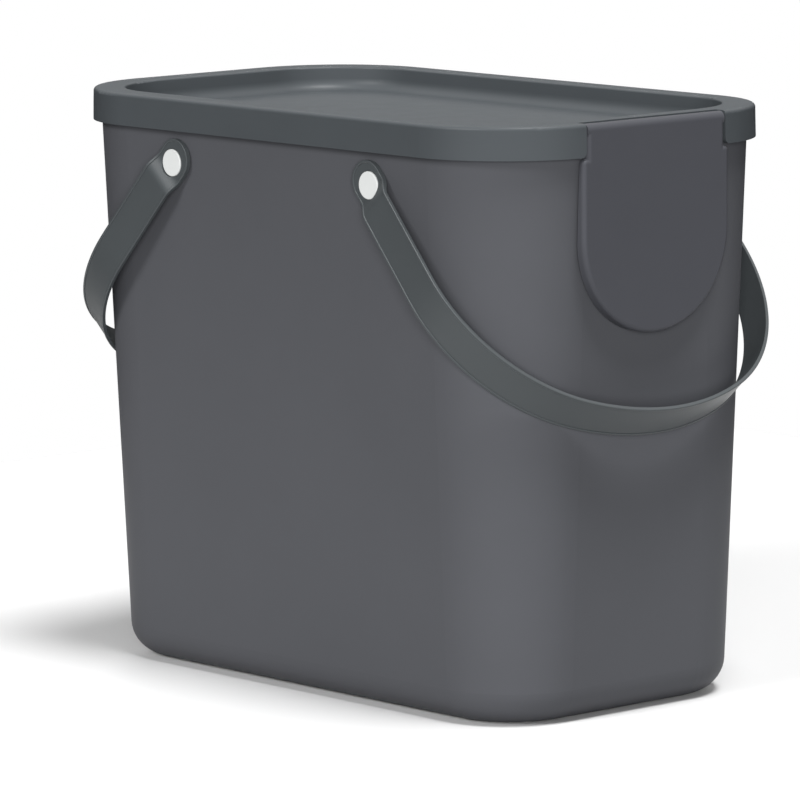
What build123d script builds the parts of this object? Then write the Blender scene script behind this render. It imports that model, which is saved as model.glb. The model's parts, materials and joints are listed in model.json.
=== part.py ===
from build123d import *
import os
from math import atan, cos, degrees, radians, sin, tan

# Waste bin: a drafted tub, a lift-off lid with a recessed tray, a front flap that
# hangs in a slot of the lid, and two strap handles on four press-in buttons.
# Origin at the middle of the base, +Z up, the flap faces -Y. Millimetres.

# Overall sizes
lid_length = 400.0
lid_width = 235.0
bin_height = 340.0
lid_corner_radius = 68.5

# Lid
skirt_height = 18.9
skirt_flare = 0.34
lid_wall = 2.2
lid_edge_radius = 2.3
rim_side_width = 16.5
rim_end_width = 19.5
rim_inner_radius = 1.2
tray_corner_radius = 54.0
tray_depth = 14.3
tray_draft = 4.0
tray_floor_radius = 7.5
rib_depth = 8.0
rib_wall = 1.8
rib_gap = 0.8
lid_seat_gap = 0.3

# Tub
tub_top_inset = 5.27
tub_base_inset = 18.94
tub_wall = 2.4
tub_floor = 3.2
tub_base_radius = 20.0
base_recess_depth = 1.2
base_ring_width = 10.0
tub_rim_height = 6.0
tub_rim_gap = 0.6
opening_overlap = 9.3
hinge_bay_side_gap = 2.0
hinge_bay_height = 11.0

# Front flap and its hinge
flap_half_width = 56.3
flap_reach = 121.0
flap_wall = 2.2
flap_side_wall = 2.0
flap_edge_radius = 2.6
flap_neck_step = 3.65
flap_neck_fillet = 2.4
flap_shoulder_radius = 2.8
flap_shoulder_gap = 0.8
flap_tub_gap = 1.7
barrel_radius = 4.0
barrel_top_drop = 0.3
barrel_gap = 0.5
slot_gap = 1.0
slot_end_radius = 3.5
hinge_pin_radius = 2.0
hinge_pin_length = 5.0
hinge_pin_running = 0.06
hinge_pin_end_gap = 0.5
lug_width = 6.0
lug_wall = 2.2

# Strap handles
pivot_from_middle = 86.5
pivot_drop = 37.9
rest_angle = 42.1
strap_reach = 178.4
strap_lid_gap = 1.9
strap_width = 24.4
strap_wall = 1.5
bead_height = 0.6
bead_width = 1.6
arm_lean = 1.62
grip_radius = 162.0
grip_flatness = 18.2
bend_start = 3.2
bend_end = 15.0
bend_pull = 4.2
eye_wall = 2.3
eye_rise = 2.6
handle_side_gap = 0.3

# Pivot buttons and the pads that they sit on
pad_radius = 10.0
pad_height = 0.8
button_radius = 7.95
button_proud = 0.7
button_edge_radius = 0.5
button_rebate_gap = 0.3
button_rebate_depth = 1.2
button_head_gap = 0.2
journal_radius = 5.0
journal_running = 0.06
neck_radius = 4.0
neck_gap = 0.05
barb_radius = 5.2
barb_tip_radius = 3.4
barb_length = 3.5
barb_gap = 0.3

# One overrun serves every cut
overrun = 12.0

os.makedirs("parts", exist_ok=True)

# Levels and slopes that follow from the sizes above
skirt_foot = bin_height - skirt_height
skirt_draft = degrees(atan(skirt_flare / skirt_height))
tub_draft = degrees(atan((tub_base_inset - tub_top_inset) / skirt_foot))
lid_underside = bin_height - lid_wall
tub_top = lid_underside - lid_seat_gap
rib_foot = lid_underside - rib_depth


def tub_inset(height):
    """How far the tub's outer wall stands inside the lid's outline at a height."""
    return tub_base_inset - height * tan(radians(tub_draft))


def outline(inset):
    """Draw the lid's outline, moved inwards all round."""
    RectangleRounded(lid_width - 2 * inset, lid_length - 2 * inset, lid_corner_radius - inset)


# The hinge line of the flap, and the flap's outline in the front view
hinge_y = -lid_length / 2 + barrel_radius
hinge_z = bin_height - barrel_top_drop - barrel_radius
flap_shoulder = skirt_foot - flap_shoulder_gap
flap_centre = bin_height - flap_reach + flap_half_width
neck_half_width = flap_half_width - flap_neck_step
slot_half_width = neck_half_width + slot_gap
pocket_y = hinge_y + barrel_radius + barrel_gap
lug_half_span = slot_half_width + lug_width
lug_foot = hinge_z - hinge_pin_radius - lug_wall
front_plane = Plane.XZ.offset(lid_length / 2)
left_plane = Plane((0, 0, 0), x_dir=(0, -1, 0), z_dir=(-1, 0, 0))

# The pivot line of the handles
pivot_height = bin_height - pivot_drop
wall_face = lid_width / 2 - tub_inset(pivot_height)
pad_face = wall_face + pad_height
eye_back = pad_face + handle_side_gap
eye_face = eye_back + eye_wall


def drafted_block(inset, foot, foot_radius):
    """A block from the tub's mouth down to a foot, drafted like the tub, with a rounded foot."""
    with BuildPart() as block:
        with BuildSketch(Plane.XY.offset(tub_top)):
            outline(tub_inset(tub_top) + inset)
        extrude(amount=foot - tub_top, taper=tub_draft)
        fillet(block.faces().sort_by(Axis.Z)[0].edges(), foot_radius)
    return block.part


# Tub
tub_outside = drafted_block(0, 0, tub_base_radius)
tub_inside = drafted_block(tub_wall, tub_floor, tub_base_radius - tub_wall)
with BuildPart() as tub:
    add(tub_outside)
    # Rolled edge round the mouth
    with BuildSketch(Plane.XY.offset(tub_top - tub_rim_height)):
        outline(lid_wall + tub_rim_gap)
    extrude(amount=tub_rim_height)
    add(tub_inside, mode=Mode.SUBTRACT)

    # Recess under the base, which leaves a ring to stand on
    with BuildSketch(Plane.XY):
        base_ring_inset = tub_base_inset + tub_base_radius + base_ring_width
        outline(base_ring_inset)
    extrude(amount=base_recess_depth, mode=Mode.SUBTRACT)

    # Throw-in opening behind the flap, and the bay above it for the flap's hinge
    opening_half_width = flap_half_width - opening_overlap
    with BuildSketch(front_plane):
        with Locations((0, flap_centre)):
            Circle(opening_half_width)
            Rectangle(2 * opening_half_width, tub_top + overrun - flap_centre, align=(Align.CENTER, Align.MIN))
        with Locations((0, tub_top + overrun)):
            Rectangle(
                2 * (lug_half_span + hinge_bay_side_gap),
                hinge_bay_height + overrun,
                align=(Align.CENTER, Align.MAX),
            )
    extrude(amount=-(tub_base_inset + tub_wall + overrun), mode=Mode.SUBTRACT)

    # Flat pads for the handles' eyes, with the holes for the buttons
    for side in (Plane.YZ, left_plane):
        with BuildSketch(side.offset(pad_face)):
            with Locations((pivot_from_middle, pivot_height), (-pivot_from_middle, pivot_height)):
                Circle(pad_radius)
        extrude(amount=-(pad_height + tub_wall / 2))
        with BuildSketch(side.offset(pad_face)):
            with Locations((pivot_from_middle, pivot_height), (-pivot_from_middle, pivot_height)):
                Circle(neck_radius + neck_gap)
        extrude(amount=-overrun, mode=Mode.SUBTRACT)
tub.part.label = "tub"
export_step(tub.part, "parts/tub.step")


def tray_block(top, growth):
    """The tray's hollow from a level down, grown all round: the hollow itself or its shell."""
    with BuildPart() as block:
        with BuildSketch(Plane.XY.offset(top)):
            RectangleRounded(
                lid_width - 2 * rim_side_width + 2 * growth,
                lid_length - 2 * rim_end_width + 2 * growth,
                tray_corner_radius + growth,
            )
        extrude(amount=-tray_depth, taper=tray_draft)
        fillet(block.faces().sort_by(Axis.Z)[0].edges(), tray_floor_radius + growth)
    return block.part


# Lid
tray_shell = tray_block(lid_underside, lid_wall)
tray_hollow = tray_block(bin_height, 0)
with BuildPart() as lid:
    # Rim and skirt
    with BuildSketch(Plane.XY.offset(skirt_foot)):
        outline(0)
    extrude(amount=skirt_height, taper=skirt_draft)
    fillet(lid.faces().sort_by(Axis.Z)[-1].edges(), lid_edge_radius)
    with BuildSketch(Plane.XY.offset(skirt_foot)):
        outline(lid_wall)
    extrude(amount=skirt_height - lid_wall, taper=skirt_draft, mode=Mode.SUBTRACT)

    # Rib that finds the inside of the tub's mouth, left out along the hinge
    with BuildSketch(Plane.XY.offset(rib_foot)):
        outline(tub_inset(tub_top) + tub_wall + rib_gap)
        outline_inside = tub_inset(tub_top) + tub_wall + rib_gap + rib_wall
        RectangleRounded(
            lid_width - 2 * outline_inside,
            lid_length - 2 * outline_inside,
            lid_corner_radius - outline_inside,
            mode=Mode.SUBTRACT,
        )
        with Locations((0, -lid_length / 2)):
            Rectangle(2 * lug_half_span, 2 * outline_inside + overrun, mode=Mode.SUBTRACT)
    extrude(amount=rib_depth)

    # Closed ends of the skirt, lugs for the hinge pins and the wall behind the hinge
    skirt_end_back = -lid_length / 2 + tub_inset(skirt_foot) - tub_rim_gap
    for side in (-1, 1):
        with BuildSketch(Plane.XY.offset(skirt_foot)):
            with Locations((side * slot_half_width, -lid_length / 2 + lid_wall / 2)):
                Rectangle(
                    2 * lug_width,
                    skirt_end_back + lid_length / 2 - lid_wall / 2,
                    align=(Align.CENTER, Align.MIN),
                )
        extrude(amount=skirt_height - lid_wall)
        with BuildSketch(Plane.XY.offset(lug_foot)):
            with Locations((side * slot_half_width, -lid_length / 2 + lid_wall / 2)):
                Rectangle(
                    2 * lug_width,
                    pocket_y + lug_wall + lid_length / 2 - lid_wall / 2,
                    align=(Align.CENTER, Align.MIN),
                )
        extrude(amount=lid_underside - lug_foot)
    with BuildSketch(Plane.XY.offset(rib_foot)):
        with Locations((0, pocket_y)):
            Rectangle(2 * lug_half_span, lug_wall, align=(Align.CENTER, Align.MIN))
    extrude(amount=rib_depth)

    # Tray
    add(tray_shell)
    add(tray_hollow, mode=Mode.SUBTRACT)
    tray_mouth = lid.faces().sort_by(Axis.Z)[-1].inner_wires()[0]
    fillet(tray_mouth.edges(), rim_inner_radius)

    # Slot for the flap, with rounded lower ends
    with BuildSketch(front_plane) as slot:
        with Locations((0, skirt_foot)):
            Rectangle(2 * slot_half_width, skirt_height + overrun, align=(Align.CENTER, Align.MIN))
            Rectangle(
                2 * (slot_half_width + slot_end_radius + overrun),
                overrun,
                align=(Align.CENTER, Align.MAX),
            )
        inner_corners = slot.vertices().filter_by_position(
            Axis.X, -slot_half_width - slot_gap, slot_half_width + slot_gap
        )
        fillet(inner_corners.group_by(Axis.Y)[0], slot_end_radius)
    extrude(amount=-(pocket_y + lid_length / 2), mode=Mode.SUBTRACT)
    extrude(slot.sketch, amount=overrun, mode=Mode.SUBTRACT)

    # Sockets for the hinge pins
    for side in (Plane.YZ, left_plane):
        with BuildSketch(side):
            with Locations((side.x_dir.Y * hinge_y, hinge_z)):
                Circle(hinge_pin_radius + hinge_pin_running)
        extrude(amount=neck_half_width + hinge_pin_length + hinge_pin_end_gap, mode=Mode.SUBTRACT)
lid.part.label = "lid"
export_step(lid.part, "parts/lid.step")


# Front flap: a shell with side walls, hung from a barrel along its top edge
tub_front_slope = Plane(
    (0, -lid_length / 2 + tub_base_inset - flap_tub_gap, 0),
    x_dir=(1, 0, 0),
    z_dir=(0, -cos(radians(tub_draft)), -sin(radians(tub_draft))),
)
with BuildPart() as front_flap:
    with BuildSketch(front_plane) as flap_face:
        with Locations((0, flap_centre)):
            Circle(flap_half_width)
            Rectangle(2 * flap_half_width, flap_shoulder - flap_centre, align=(Align.CENTER, Align.MIN))
            Rectangle(2 * neck_half_width, hinge_z - flap_centre, align=(Align.CENTER, Align.MIN))
        shoulders = flap_face.vertices().filter_by_position(
            Axis.Y, flap_shoulder - flap_shoulder_gap, flap_shoulder + flap_shoulder_gap
        )
        across = shoulders.sort_by(Axis.X)
        fillet([across[0], across[-1]], flap_shoulder_radius)
        fillet([across[1], across[-2]], flap_neck_fillet)
    extrude(amount=-flap_wall)

    # Side walls of the body, cut off so far from the tub's front that the lid can be lifted
    with BuildSketch(front_plane):
        add(flap_face.sketch)
        offset(amount=-flap_side_wall, mode=Mode.SUBTRACT)
        with Locations((0, flap_shoulder)):
            Rectangle(2 * lug_half_span, flap_reach, align=(Align.CENTER, Align.MAX), mode=Mode.INTERSECT)
    extrude(amount=-tub_base_inset)
    split(bisect_by=tub_front_slope, keep=Keep.TOP)

    # Shallower side walls of the neck
    with BuildSketch(front_plane):
        add(flap_face.sketch)
        offset(amount=-flap_side_wall, mode=Mode.SUBTRACT)
        with Locations((0, flap_shoulder)):
            Rectangle(2 * lug_half_span, flap_reach, align=(Align.CENTER, Align.MIN), mode=Mode.INTERSECT)
    extrude(amount=-barrel_radius)

    # Rounded edge all round the face, below the barrel
    face_rim = front_flap.faces().sort_by(Axis.Y)[0].edges()
    fillet(face_rim.sort_by(Axis.Z)[:-1], flap_edge_radius)

    # Barrel and hinge pins
    with BuildSketch(Plane.YZ):
        with Locations((hinge_y, hinge_z)):
            Circle(barrel_radius)
    extrude(amount=neck_half_width, both=True)
    with BuildSketch(Plane.YZ):
        with Locations((hinge_y, hinge_z)):
            Circle(hinge_pin_radius)
    extrude(amount=neck_half_width + hinge_pin_length, both=True)
front_flap.part.label = "front_flap"
export_step(front_flap.part, "parts/front_flap.step")


# The strap's line lies in the swing plane: x across the bin, y from the pivot to the grip.
# The bend is less deep than the strap is half wide, by its flatness, and the straight arms
# are what is left of the reach. The shoulder's radius joins arm and grip without a corner.
strap_half_width = lid_width / 2 + strap_lid_gap + strap_wall
grip_drop = strap_half_width - grip_flatness
arm_length = strap_reach - grip_drop
shoulder_bend_radius = (2 * grip_radius * grip_drop - grip_drop**2 - strap_half_width**2) / (
    2 * (grip_radius - strap_half_width)
)
shoulder_x = strap_half_width - shoulder_bend_radius
grip_centre_y = strap_reach - grip_radius
strap_edge = strap_width / 2


def swing_plane(end, lift=0):
    """The plane of a handle at rest, moved along its normal. End -1 is the front."""
    slope = radians(rest_angle)
    normal = Vector(0, cos(slope), end * sin(slope))
    pivot = Vector(0, end * pivot_from_middle, pivot_height)
    return Plane(pivot + normal * lift, x_dir=(1, 0, 0), z_dir=normal)


def strap_points(growth):
    """Corners of half the strap's line, grown outwards: arm top, shoulder, join and grip middle."""
    radius = shoulder_bend_radius + growth
    lean = radians(arm_lean)
    shoulder = Vector(shoulder_x + radius * cos(lean), arm_length - radius * sin(lean))
    arm_top = Vector(shoulder.X - (shoulder.Y - bend_end) * tan(lean), bend_end)
    along = Vector(shoulder_x, arm_length - grip_centre_y).normalized()
    join = Vector(0, grip_centre_y) + along * (grip_radius + growth)
    return arm_top, shoulder, join, Vector(0, strap_reach + growth)


def strap_half(growth):
    """Edges of half the strap's line from the arm's top to the middle of the grip."""
    arm_top, shoulder, join, grip = strap_points(growth)
    Line(arm_top, shoulder)
    RadiusArc(shoulder, join, -(shoulder_bend_radius + growth))
    RadiusArc(join, grip, -(grip_radius + growth))
    return arm_top, grip


def eye_line(eye_x, arm_top):
    """Edges of a line from the eye's round end down, and of the bend that takes it out to the arm."""
    pull = Vector(bend_pull * tan(radians(arm_lean)), bend_pull)
    Line((eye_x, -eye_rise), (eye_x, bend_start))
    Bezier((eye_x, bend_start), (eye_x, bend_start + bend_pull), arm_top - pull, arm_top)


def strap_face(plane, growth):
    """The strap seen along its pivot's normal, with its outer face moved outwards."""
    with BuildSketch(plane) as strap:
        with BuildLine():
            outer_arm, outer_grip = strap_half(growth)
            eye_line(eye_face + growth, outer_arm)
            inner_arm, inner_grip = strap_half(-strap_wall)
            eye_line(eye_back, inner_arm)
            Line((eye_back, -eye_rise), (eye_face + growth, -eye_rise))
            Line(inner_grip, outer_grip)
        make_face()
        mirror(about=Plane.YZ)
    return strap.sketch


def strap_handle(end):
    """A strap handle hanging at rest over one end of the bin."""
    with BuildPart() as handle:
        # Web of the strap, and the beads along both its edges
        extrude(strap_face(swing_plane(end), 0), amount=strap_edge, both=True)
        extrude(strap_face(swing_plane(end, -strap_edge), bead_height), amount=bead_width)
        extrude(strap_face(swing_plane(end, strap_edge - bead_width), bead_height), amount=bead_width)

        # Eyes, whose round ends stand a little past the pivot, with a rebate for the button's
        # head and a hole for its journal
        for side in (-1, 1):
            along = swing_plane(end).y_dir
            pivot = Vector(0, end * pivot_from_middle, pivot_height)
            outwards = Vector(side, 0, 0)
            back = Plane(pivot + outwards * eye_back, x_dir=along, z_dir=outwards)
            face = Plane(pivot + outwards * eye_face, x_dir=along, z_dir=outwards)
            rebate = Plane(pivot + outwards * (eye_face - button_rebate_depth), x_dir=along, z_dir=outwards)
            with BuildSketch(back):
                with Locations((-eye_rise, 0)):
                    Circle(strap_edge)
                    Rectangle(strap_edge, strap_width, align=(Align.MIN, Align.CENTER), mode=Mode.SUBTRACT)
            extrude(amount=eye_wall)
            with BuildSketch(face):
                with Locations((-eye_rise, 0)):
                    Circle(strap_edge)
                    Circle(strap_edge - bead_width, mode=Mode.SUBTRACT)
                    Rectangle(strap_edge, strap_width, align=(Align.MIN, Align.CENTER), mode=Mode.SUBTRACT)
            extrude(amount=bead_height)
            with BuildSketch(rebate):
                Circle(button_radius + button_rebate_gap)
            extrude(amount=overrun, mode=Mode.SUBTRACT)
            with BuildSketch(back):
                Circle(journal_radius + journal_running)
            extrude(amount=eye_wall, mode=Mode.SUBTRACT)
    return handle


front_handle = strap_handle(-1)
front_handle.part.label = "front_handle"
export_step(front_handle.part, "parts/front_handle.step")
rear_handle = strap_handle(1)
rear_handle.part.label = "rear_handle"
export_step(rear_handle.part, "parts/rear_handle.step")


# Pivot buttons, pressed through the eyes and the tub's wall
head_back = eye_face - button_rebate_depth + button_head_gap
head_front = eye_face + button_proud
barb_back = wall_face - tub_wall - barb_gap
for end_name, end in (("front", -1), ("rear", 1)):
    for side_name, side in (("left", -1), ("right", 1)):
        pivot = (0, end * pivot_from_middle, pivot_height)
        with BuildPart() as button:
            with BuildSketch(Plane(pivot, x_dir=(side, 0, 0), z_dir=(0, side, 0))):
                with BuildLine():
                    Polyline(
                        (barb_back - barb_length, 0),
                        (barb_back - barb_length, barb_tip_radius),
                        (barb_back, barb_radius),
                        (barb_back, neck_radius),
                        (pad_face, neck_radius),
                        (pad_face, journal_radius),
                        (head_back, journal_radius),
                        (head_back, button_radius),
                        (head_front, button_radius),
                        (head_front, 0),
                        close=True,
                    )
                make_face()
            revolve(axis=Axis(pivot, (1, 0, 0)))
            head_face = button.faces().sort_by(Axis.X)[-1 if side > 0 else 0]
            fillet(head_face.edges(), button_edge_radius)
        name = f"{end_name}_{side_name}_button"
        button.part.label = name
        export_step(button.part, f"parts/{name}.step")
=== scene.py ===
import json
from math import cos, pi, radians, sin, tan

import bpy
from mathutils import Matrix, Vector


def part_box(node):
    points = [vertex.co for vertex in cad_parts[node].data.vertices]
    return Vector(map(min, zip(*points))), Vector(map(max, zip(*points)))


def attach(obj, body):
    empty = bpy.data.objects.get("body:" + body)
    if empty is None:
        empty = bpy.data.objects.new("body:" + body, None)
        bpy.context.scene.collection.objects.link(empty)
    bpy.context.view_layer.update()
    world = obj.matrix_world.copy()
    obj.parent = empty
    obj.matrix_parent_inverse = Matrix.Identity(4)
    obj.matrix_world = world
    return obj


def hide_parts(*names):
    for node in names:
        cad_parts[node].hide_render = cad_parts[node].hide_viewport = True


# Waste bin of moulded plastic: tub, tray lid, end flap, two strap handles on white buttons.
# Metres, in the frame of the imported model: +Z up, the flap faces -Y.
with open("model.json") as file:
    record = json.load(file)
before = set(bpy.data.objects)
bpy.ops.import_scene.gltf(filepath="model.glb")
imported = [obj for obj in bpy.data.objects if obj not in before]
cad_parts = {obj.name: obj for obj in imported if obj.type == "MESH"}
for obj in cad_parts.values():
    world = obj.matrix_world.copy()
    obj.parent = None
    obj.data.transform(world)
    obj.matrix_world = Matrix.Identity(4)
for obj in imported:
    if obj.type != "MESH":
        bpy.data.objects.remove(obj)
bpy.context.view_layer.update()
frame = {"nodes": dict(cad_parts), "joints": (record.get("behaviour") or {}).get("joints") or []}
mm = 0.001

# Sizes of the strap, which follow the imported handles
strap_width = 24.4 * mm
strap_wall = 1.5 * mm
strap_reach = 178.4 * mm
eye_wall = 2.3 * mm
eye_rise = 2.6 * mm
bend_start = 3.2 * mm
bend_end = 15.0 * mm
bend_pull = 4.2 * mm
arm_lean = radians(1.62)
grip_radius = 162.0 * mm
grip_flatness = 18.2 * mm
bead_height = 0.6 * mm
bead_width = 1.6 * mm
bead_round = 0.45 * mm
button_radius = 7.95 * mm
button_proud = 0.7 * mm
rebate_gap = 0.3 * mm
rebate_depth = 1.2 * mm
journal_hole_radius = 5.06 * mm
rest_angle = radians(42.1)

# How finely the strap is made
round_steps = 96
line_steps = 64
bend_cut = 1.25 * mm
plain_cut = 2.5 * mm
bead_segments = 3
smooth_angle = radians(35)


def deselect_all():
    bpy.ops.object.select_all(action="DESELECT")


def make_active(piece):
    """Select one object alone, ready for the operators."""
    deselect_all()
    piece.select_set(True)
    bpy.context.view_layer.objects.active = piece


def added(name):
    """Name the primitive that was just added, and apply its place to its mesh."""
    piece = bpy.context.object
    piece.name = name
    piece.data.name = name
    make_active(piece)
    bpy.ops.object.transform_apply(location=True, rotation=True, scale=True)
    return piece


def pick(piece, test, kind="VERT"):
    """Enter edit mode with the vertices or faces selected whose place passes a test."""
    make_active(piece)
    bpy.ops.object.mode_set(mode="EDIT")
    bpy.ops.mesh.select_mode(type=kind)
    bpy.ops.mesh.select_all(action="DESELECT")
    bpy.ops.object.mode_set(mode="OBJECT")
    if kind == "VERT":
        for vertex in piece.data.vertices:
            vertex.select = test(vertex.co)
    else:
        for face in piece.data.polygons:
            face.select = test(face.center, face.normal)
    bpy.ops.object.mode_set(mode="EDIT")


def leave_edit():
    bpy.ops.object.mode_set(mode="OBJECT")


def apply_modifier(piece, kind, **settings):
    make_active(piece)
    modifier = piece.modifiers.new(kind.title(), kind)
    for name, value in settings.items():
        setattr(modifier, name, value)
    bpy.ops.object.modifier_apply(modifier=modifier.name)


def face_outwards(piece):
    pick(piece, lambda place: True)
    bpy.ops.mesh.remove_doubles(threshold=0.01 * mm)
    bpy.ops.mesh.normals_make_consistent(inside=False)
    leave_edit()


# Outputs of the Texture Coordinate and Light Path nodes, by their place
object_coordinates = 3
to_camera, in_diffuse, in_gloss, through_clear = 0, 2, 3, 6


class Wire:
    """A socket that numbers flow from. Python's operators on it add Math nodes."""

    def __init__(self, paint, socket):
        self.paint = paint
        self.socket = socket

    def sums(self, operation, *values):
        return self.paint.node("ShaderNodeMath", {"operation": operation}, dict(enumerate(values)))

    def __add__(self, other):
        return self.sums("ADD", self, other)

    def __radd__(self, other):
        return self.sums("ADD", other, self)

    def __sub__(self, other):
        return self.sums("SUBTRACT", self, other)

    def __rsub__(self, other):
        return self.sums("SUBTRACT", other, self)

    def __mul__(self, other):
        return self.sums("MULTIPLY", self, other)

    def __rmul__(self, other):
        return self.sums("MULTIPLY", other, self)

    def clamped(self):
        return self.sums("MAXIMUM", self.sums("MINIMUM", self, 1.0), 0.0)


class Paint:
    """The shader of a material or of the world, built up with node() and operators on wires."""

    def __init__(self, owner):
        owner.use_nodes = True
        self.tree = owner.node_tree
        self.tree.nodes.clear()

    def node(self, kind, settings=None, inputs=None, output=0):
        """Add a node with its settings first, then the values or wires of its sockets."""
        made = self.tree.nodes.new(kind)
        for name, value in (settings or {}).items():
            setattr(made, name, value)
        for name, value in (inputs or {}).items():
            if isinstance(value, Wire):
                self.tree.links.new(value.socket, made.inputs[name])
            else:
                made.inputs[name].default_value = value
        return Wire(self, made.outputs[output]) if made.outputs else made


def linear(red, green, blue):
    """A colour given in the usual 0 to 255 steps, as the linear colour that shaders take."""
    steps = [value / 255 for value in (red, green, blue)]
    shades = [s / 12.92 if s <= 0.04045 else ((s + 0.055) / 1.055) ** 2.4 for s in steps]
    return (*shades, 1.0)


def moulded_plastic(name, colour, roughness, grain, mottle=0.05, ior=1.2, specular=0.5):
    """Moulded plastic: a fine spark-eroded grain, and faint flow marks in colour and gloss."""
    material = bpy.data.materials.new(name)
    paint = Paint(material)
    place = paint.node("ShaderNodeTexCoord", output=object_coordinates)
    fine = paint.node(
        "ShaderNodeTexNoise",
        inputs={"Vector": place, "Scale": 1400.0, "Detail": 3.0, "Roughness": 0.6},
    )
    flow = paint.node(
        "ShaderNodeTexNoise",
        inputs={"Vector": place, "Scale": 9.0, "Detail": 4.0, "Roughness": 0.55},
    )
    cloud = paint.node(
        "ShaderNodeTexNoise",
        inputs={"Vector": place, "Scale": 55.0, "Detail": 5.0, "Roughness": 0.65},
    )
    shade = 1.0 + mottle * (flow - 0.5) * 2 + mottle * (cloud - 0.5)
    tinted = paint.node(
        "ShaderNodeVectorMath",
        {"operation": "SCALE"},
        {0: colour[:3], "Scale": shade},
    )
    rough = roughness + 0.08 * (cloud - 0.5) + 0.05 * (fine - 0.5)
    bump = paint.node(
        "ShaderNodeBump",
        inputs={"Strength": grain, "Distance": 0.08 * mm, "Height": fine},
    )
    shader = paint.node(
        "ShaderNodeBsdfPrincipled",
        inputs={
            "Base Color": tinted,
            "Roughness": rough.clamped(),
            "Normal": bump,
            "IOR": ior,
            "Specular IOR Level": specular,
        },
    )
    paint.node("ShaderNodeOutputMaterial", inputs={"Surface": shader})
    return material


tub_plastic = moulded_plastic("tub_grey", linear(79, 80, 84), 0.5, 0.25)
lid_plastic = moulded_plastic("lid_grey", linear(68, 72, 75), 0.42, 0.25, ior=1.5, specular=0.22)
flap_plastic = moulded_plastic("flap_grey", linear(70, 71, 76), 0.45, 0.25, ior=1.25)
strap_plastic = moulded_plastic("strap_grey", linear(69, 73, 75), 0.36, 0.3, ior=1.35)
button_plastic = moulded_plastic("button_white", linear(213, 215, 214), 0.35, 0.1, mottle=0.01)


def dress(node, material):
    """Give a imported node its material."""
    slots = frame["nodes"][node].data.materials
    slots.clear()
    slots.append(material)


dress("tub", tub_plastic)
dress("lid", lid_plastic)
dress("front_flap", flap_plastic)
for end in ("front", "rear"):
    for side in ("left", "right"):
        dress(f"{end}_{side}_button", button_plastic)


# The strap's outer line, across (x) and down from the pivot (y), from its eye to its grip
lid_half_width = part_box("lid")[1].x
strap_half_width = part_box("front_handle")[1].x - bead_height
button_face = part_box("front_right_button")[1].x
eye_face = button_face - button_proud
grip_drop = strap_half_width - grip_flatness
arm_length = strap_reach - grip_drop
shoulder_radius = (2 * grip_radius * grip_drop - grip_drop**2 - strap_half_width**2) / (
    2 * (grip_radius - strap_half_width)
)
strap_edge = strap_width / 2
eye_top = strap_edge + eye_rise


def strap_line():
    """A flat curve along the strap, with the handles of its points placed for true arcs."""
    shoulder_centre = Vector((strap_half_width - shoulder_radius, arm_length))
    grip_centre = Vector((0, strap_reach - grip_radius))
    shoulder = shoulder_centre + shoulder_radius * Vector((cos(arm_lean), -sin(arm_lean)))
    along_arm = Vector((sin(arm_lean), cos(arm_lean)))
    arm_top = shoulder - along_arm * ((shoulder.y - bend_end) / cos(arm_lean))
    outwards = (shoulder_centre - grip_centre).normalized()
    join = grip_centre + outwards * grip_radius
    across = Vector((-outwards.y, outwards.x))
    shoulder_turn = arm_lean + outwards.angle(Vector((1, 0)))
    grip_turn = outwards.angle(Vector((0, 1)))
    shoulder_pull = shoulder_radius * 4 / 3 * tan(shoulder_turn / 4)
    grip_pull = grip_radius * 4 / 3 * tan(grip_turn / 4)
    down = Vector((0, 1))
    third = (shoulder - arm_top).length / 3
    # Each point, and how its two handles reach from it
    points = [
        (Vector((eye_face, -eye_top)), down * strap_edge / 3, down * strap_edge / 3),
        (Vector((eye_face, bend_start)), down * strap_edge / 3, down * bend_pull),
        (arm_top, along_arm * bend_pull, along_arm * third),
        (shoulder, along_arm * third, along_arm * shoulder_pull),
        (join, across * shoulder_pull, across * grip_pull),
        (Vector((0, strap_reach)), Vector((-1, 0)) * grip_pull, Vector((-1, 0)) * grip_pull),
    ]
    bpy.ops.curve.primitive_bezier_curve_add(location=(0, 0, 0))
    line = bpy.context.object
    line.name = "strap_line"
    line.data.resolution_u = line_steps
    line.data.twist_mode = "Z_UP"
    spline = line.data.splines[0]
    spline.bezier_points.add(len(points) - len(spline.bezier_points))
    for knot, (place, before, after) in zip(spline.bezier_points, points):
        knot.handle_left_type = knot.handle_right_type = "FREE"
        knot.co = place.to_3d()
        knot.handle_left = (place - before).to_3d()
        knot.handle_right = (place + after).to_3d()
    return line


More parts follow.
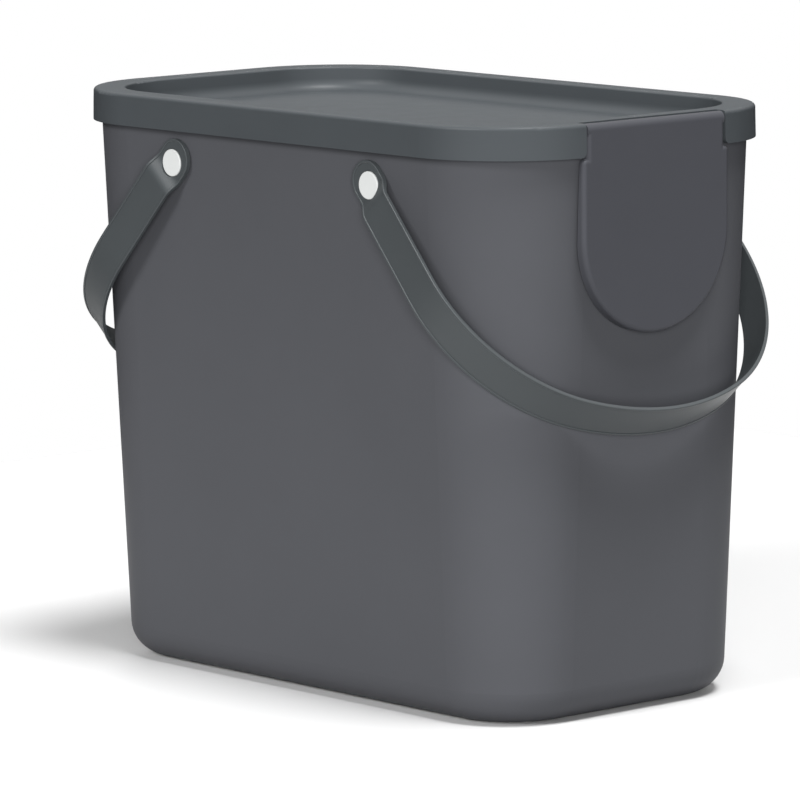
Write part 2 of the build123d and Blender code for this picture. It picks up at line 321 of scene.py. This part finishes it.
def flat_strap():
    """Half a strap laid flat: x along it, z across it, the beaded face towards -Y."""
    length = strap_reach + strap_half_width
    pivot_x = eye_top
    bpy.ops.mesh.primitive_circle_add(
        vertices=round_steps,
        radius=strap_edge,
        location=(strap_edge, 0, 0),
        rotation=(pi / 2, 0, 0),
    )
    strap = added("strap")
    pick(strap, lambda place: place.x > strap_edge + 0.01 * mm)
    bpy.ops.transform.translate(value=(length, 0, 0))
    bpy.ops.mesh.select_all(action="SELECT")
    bpy.ops.mesh.edge_face_add()
    cut = pivot_x + bend_start
    while cut < length:
        bpy.ops.mesh.select_all(action="SELECT")
        bpy.ops.mesh.bisect(plane_co=(cut, 0, 0), plane_no=(1, 0, 0))
        cut += bend_cut if cut < pivot_x + 2 * bend_end else plain_cut
    bpy.ops.mesh.select_all(action="SELECT")
    bpy.ops.mesh.extrude_region_move(TRANSFORM_OT_translate={"value": (0, strap_wall, 0)})
    leave_edit()
    face_outwards(strap)

    def from_edge(place):
        return strap_edge - Vector((min(place.x - strap_edge, 0), place.z)).length

    # A rounded bead along the edge of the outer face
    pick(strap, lambda centre, normal: normal.y < -0.9, "FACE")
    bpy.ops.mesh.inset(thickness=bead_width)
    leave_edit()
    pick(strap, lambda centre, normal: normal.y < -0.9 and from_edge(centre) < bead_width, "FACE")
    bpy.ops.mesh.extrude_region_move(TRANSFORM_OT_translate={"value": (0, -bead_height, 0)})
    bpy.ops.mesh.region_to_loop()
    bpy.ops.mesh.bevel(offset=bead_round, segments=bead_segments, affect="EDGES")
    leave_edit()

    # The back of the eye lies deeper than the back of the strap
    for vertex in strap.data.vertices:
        if vertex.co.y > strap_wall / 2:
            past = (vertex.co.x - pivot_x - bend_start) / (bend_end - bend_start)
            vertex.co.y += (eye_wall - strap_wall) * (1 - min(max(past, 0), 1))
    return strap


def bent_strap():
    """A whole strap in its own plane: x across, y down from the pivot, z out of the plane."""
    strap = flat_strap()
    line = strap_line()
    apply_modifier(strap, "CURVE", object=line, deform_axis="POS_X")
    bpy.data.objects.remove(line)
    for name, radius, depth in (
        ("rebate", button_radius + rebate_gap, rebate_depth),
        ("journal_hole", journal_hole_radius, eye_wall * 2),
    ):
        tool_length = strap_edge
        bpy.ops.mesh.primitive_cylinder_add(
            vertices=round_steps,
            radius=radius,
            depth=tool_length,
            location=(eye_face - depth + tool_length / 2, 0, 0),
            rotation=(0, pi / 2, 0),
        )
        tool = added(name)
        apply_modifier(strap, "BOOLEAN", object=tool, operation="DIFFERENCE", solver="EXACT")
        bpy.data.objects.remove(tool)
    apply_modifier(
        strap,
        "MIRROR",
        use_axis=(True, False, False),
        use_bisect_axis=(True, False, False),
        merge_threshold=0.02 * mm,
    )
    face_outwards(strap)
    return strap


def hang(strap, end, name):
    """Put a strap in its swing plane at rest. End -1 is the front."""
    pivot = Vector((0, end * abs(swing_joints["front_handle"]["pos_m"][1]), pivot_height))
    normal = Vector((0, cos(rest_angle), end * sin(rest_angle)))
    across = Vector((1, 0, 0))
    turn = Matrix((across, normal.cross(across), normal)).transposed().to_4x4()
    strap.name = name
    strap.data.name = name
    strap.matrix_world = Matrix.Translation(pivot) @ turn
    make_active(strap)
    bpy.ops.object.transform_apply(location=True, rotation=True, scale=True)
    bpy.ops.object.shade_smooth_by_angle(angle=smooth_angle)
    strap.data.materials.clear()
    strap.data.materials.append(strap_plastic)


swing_joints = {joint["child"]: joint for joint in frame["joints"]}
pivot_height = swing_joints["front_handle"]["pos_m"][2]
front_strap = bent_strap()
rear_strap = front_strap.copy()
rear_strap.data = front_strap.data.copy()
bpy.context.collection.objects.link(rear_strap)
for strap, end, body in ((front_strap, -1, "front_handle"), (rear_strap, 1, "rear_handle")):
    hang(strap, end, body.replace("handle", "strap"))
    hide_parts(body)
    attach(strap, body)


# Floor: white to the eye, in gloss and through clear pieces, but it throws little light back
def white_floor(shown, bounced):
    material = bpy.data.materials.new("floor_white")
    paint = Paint(material)
    bounce = paint.node("ShaderNodeLightPath", output=in_diffuse)
    colour = paint.node(
        "ShaderNodeVectorMath",
        {"operation": "SCALE"},
        {0: (1.0, 1.0, 1.0), "Scale": shown - bounce * (shown - bounced)},
    )
    matt = paint.node("ShaderNodeBsdfDiffuse", inputs={"Color": colour})
    paint.node("ShaderNodeOutputMaterial", inputs={"Surface": matt})
    return material


floor_size = 1.6
bpy.ops.mesh.primitive_plane_add(size=floor_size, location=(0, 0, 0))
floor = added("floor")
floor.data.materials.append(white_floor(shown=0.8, bounced=0.3))


# Soft studio light: each lamp by its bearing from -X towards -Y, its height, and its level,
# where a level of 1 shows a colour that faces the lamp as it is written. The low lamps
# stay out of gloss, where they would glare on the tray.
lamp_distance = 2.0


def lamp(name, bearing, height, level, softness, shines=True):
    around = radians(bearing)
    up = radians(height)
    towards = Vector((-cos(around) * cos(up), -sin(around) * cos(up), sin(up)))
    data = bpy.data.lights.new(name, "SUN")
    data.energy = level * pi
    data.angle = radians(softness)
    placed = bpy.data.objects.new(name, data)
    placed.rotation_mode = "QUATERNION"
    placed.rotation_quaternion = towards.to_track_quat("Z", "Y")
    placed.location = towards * lamp_distance
    placed.visible_glossy = shines
    bpy.context.collection.objects.link(placed)


lamp("left", 0, 32, 0.45, 20)
lamp("front", 50, 8, 0.93, 26, shines=False)
lamp("flap_side", 90, 73, 0.92, 20)
lamp("behind", 226, 8, 0.85, 26, shines=False)


def studio_world(ambient, overhead, front):
    """White to the camera. Gloss shows it dark, but bright overhead and behind the camera."""
    world = bpy.data.worlds.new("studio")
    bpy.context.scene.world = world
    paint = Paint(world)
    rays = "ShaderNodeLightPath"
    direction = paint.node("ShaderNodeTexCoord")

    def glow_towards(side, start, full):
        facing = paint.node(
            "ShaderNodeVectorMath", {"operation": "DOT_PRODUCT"}, {0: direction, 1: side}, output=1
        )
        return paint.node(
            "ShaderNodeMapRange",
            {"interpolation_type": "SMOOTHSTEP"},
            {"Value": facing, "From Min": start, "From Max": full},
        )

    camera_side = (sin(camera_bearing), -cos(camera_bearing), 0)
    glow_above = glow_towards((0, 0, 1), 0.15, 0.7) * overhead
    glow_in_front = glow_towards(camera_side, 0.2, 0.9) * front
    seen = paint.node(rays, output=to_camera) + paint.node(rays, output=through_clear)
    gloss = paint.node(rays, output=in_gloss) * (glow_above + glow_in_front)
    strength = seen + gloss + paint.node(rays, output=in_diffuse) * ambient
    background = paint.node(
        "ShaderNodeBackground", inputs={"Color": (1.0, 1.0, 1.0, 1.0), "Strength": strength}
    )
    paint.node("ShaderNodeOutputWorld", inputs={"Surface": background})


bpy.context.scene.view_settings.view_transform = "Standard"

# Camera at the photograph's view: bearing, height and roll in degrees, and the lens in pixels
# of the 800 pixel frame, with the middle of the lens at a pixel of it
camera_bearing = radians(-41.711)
camera_height = radians(8.09)
camera_roll = radians(-0.447)
camera_distance = 3.5825
camera_target = Vector((0, 0, 0.17))
frame_pixels = 800
lens_pixels = 6118.95
lens_middle_x = 420.603
lens_middle_y = 383.237
sensor_width = 36.0
far_clip = 200.0

studio_world(ambient=0.06, overhead=1.5, front=1.2)

back = Vector(
    (
        sin(camera_bearing) * cos(camera_height),
        -cos(camera_bearing) * cos(camera_height),
        sin(camera_height),
    )
)
level_right = Vector((cos(camera_bearing), sin(camera_bearing), 0))
level_up = back.cross(level_right)
right = level_right * cos(camera_roll) + level_up * sin(camera_roll)
up = level_up * cos(camera_roll) - level_right * sin(camera_roll)
camera_data = bpy.data.cameras.new("camera")
camera_data.sensor_width = sensor_width
camera_data.lens = lens_pixels / frame_pixels * sensor_width
camera_data.shift_x = (frame_pixels / 2 - lens_middle_x) / frame_pixels
camera_data.shift_y = (lens_middle_y - frame_pixels / 2) / frame_pixels
camera_data.clip_end = far_clip
camera = bpy.data.objects.new("camera", camera_data)
turn = Matrix((right, up, back)).transposed().to_4x4()
camera.matrix_world = Matrix.Translation(camera_target + back * camera_distance) @ turn
bpy.context.collection.objects.link(camera)
bpy.context.scene.camera = camera
